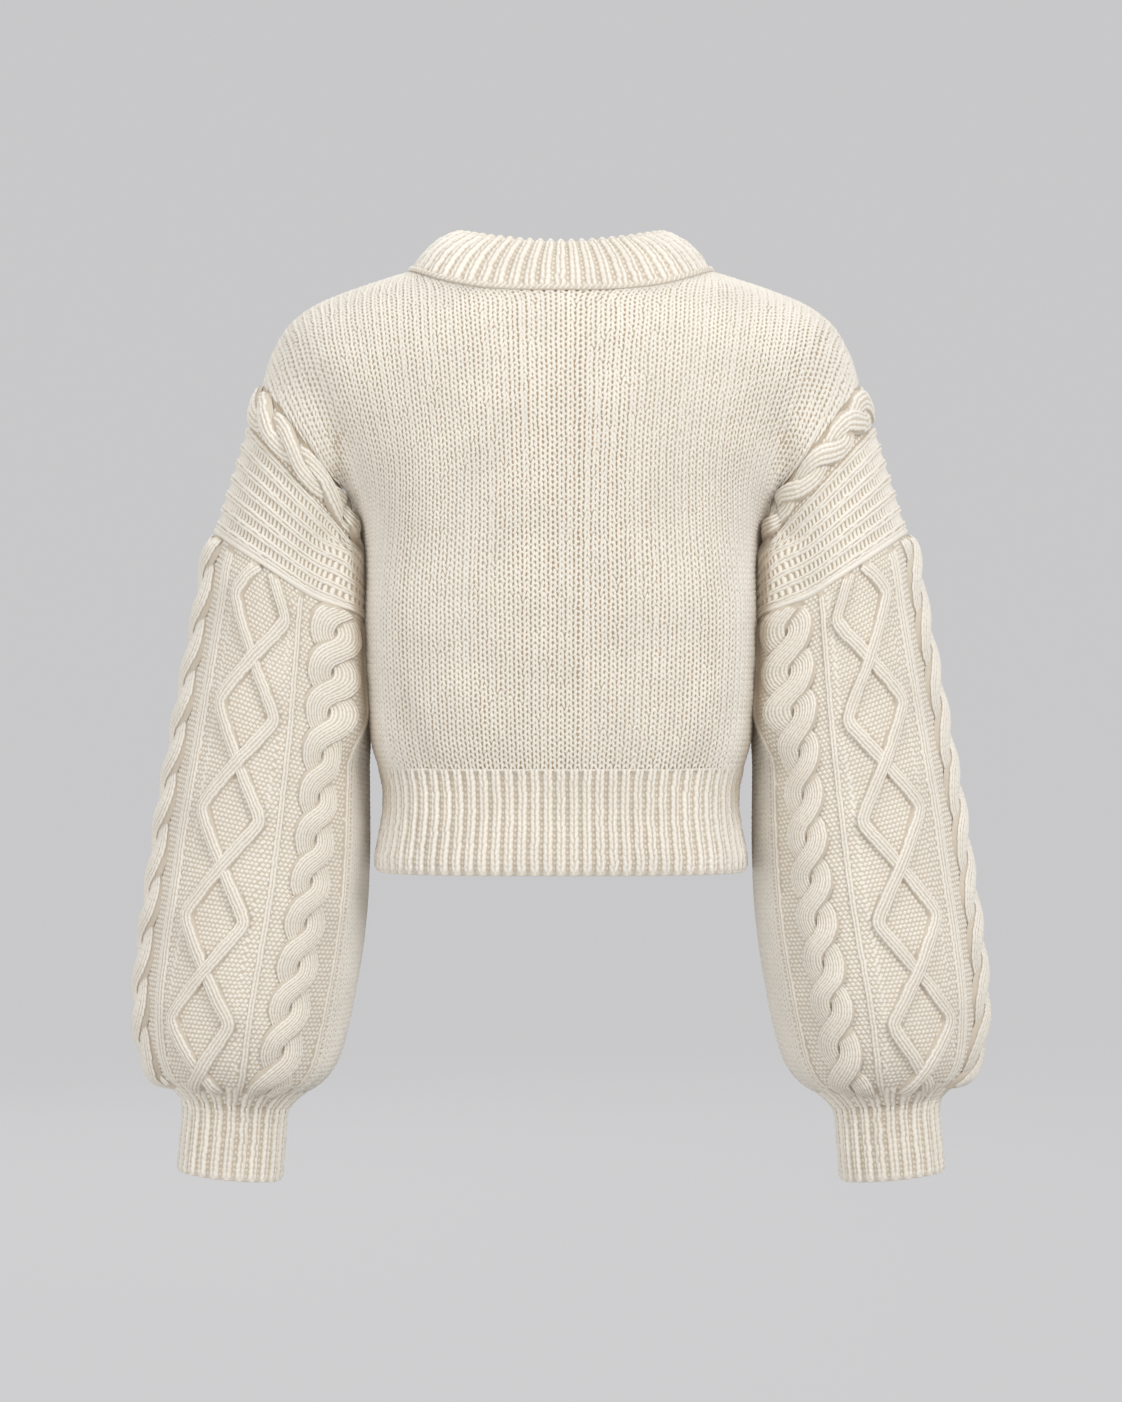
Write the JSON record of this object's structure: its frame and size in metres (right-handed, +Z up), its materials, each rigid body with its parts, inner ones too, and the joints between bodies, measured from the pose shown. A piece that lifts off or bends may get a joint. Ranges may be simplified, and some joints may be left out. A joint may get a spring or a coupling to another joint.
{
  "type": "cable knit cardigan",
  "caption": "Cropped cream cable knit cardigan with drop shoulders, ribbed neck, hem and cuffs and full cabled sleeves, filled out as if worn.",
  "frame": {"origin": "middle of the neck, at the height where the shoulder seams meet the neckband, where the wearer holds the garment up", "axes": "+Z up, +X towards the wearer's left, the wearer faces -Y"},
  "size_m": [0.6398, 0.2206, 0.7133],
  "materials": {
    "wool": "thick cream wool yarn, matt with a soft fuzz",
    "button": "satin horn-like plastic"
  },
  "bodies": {
    "root": {"back": "wool", "front_left": "wool", "front_right": "wool", "armhole_band_left": "wool", "armhole_band_right": "wool", "sleeve_left": "wool", "sleeve_right": "wool", "cuff_left": "wool", "cuff_right": "wool", "hem_rib": "wool", "neckband": "wool", "button_band_over": "wool", "button_band_under": "wool", "button_1": "button", "button_2": "button", "button_3": "button", "button_4": "button", "button_5": "button", "button_6": "button"}
  },
  "joints": []
}
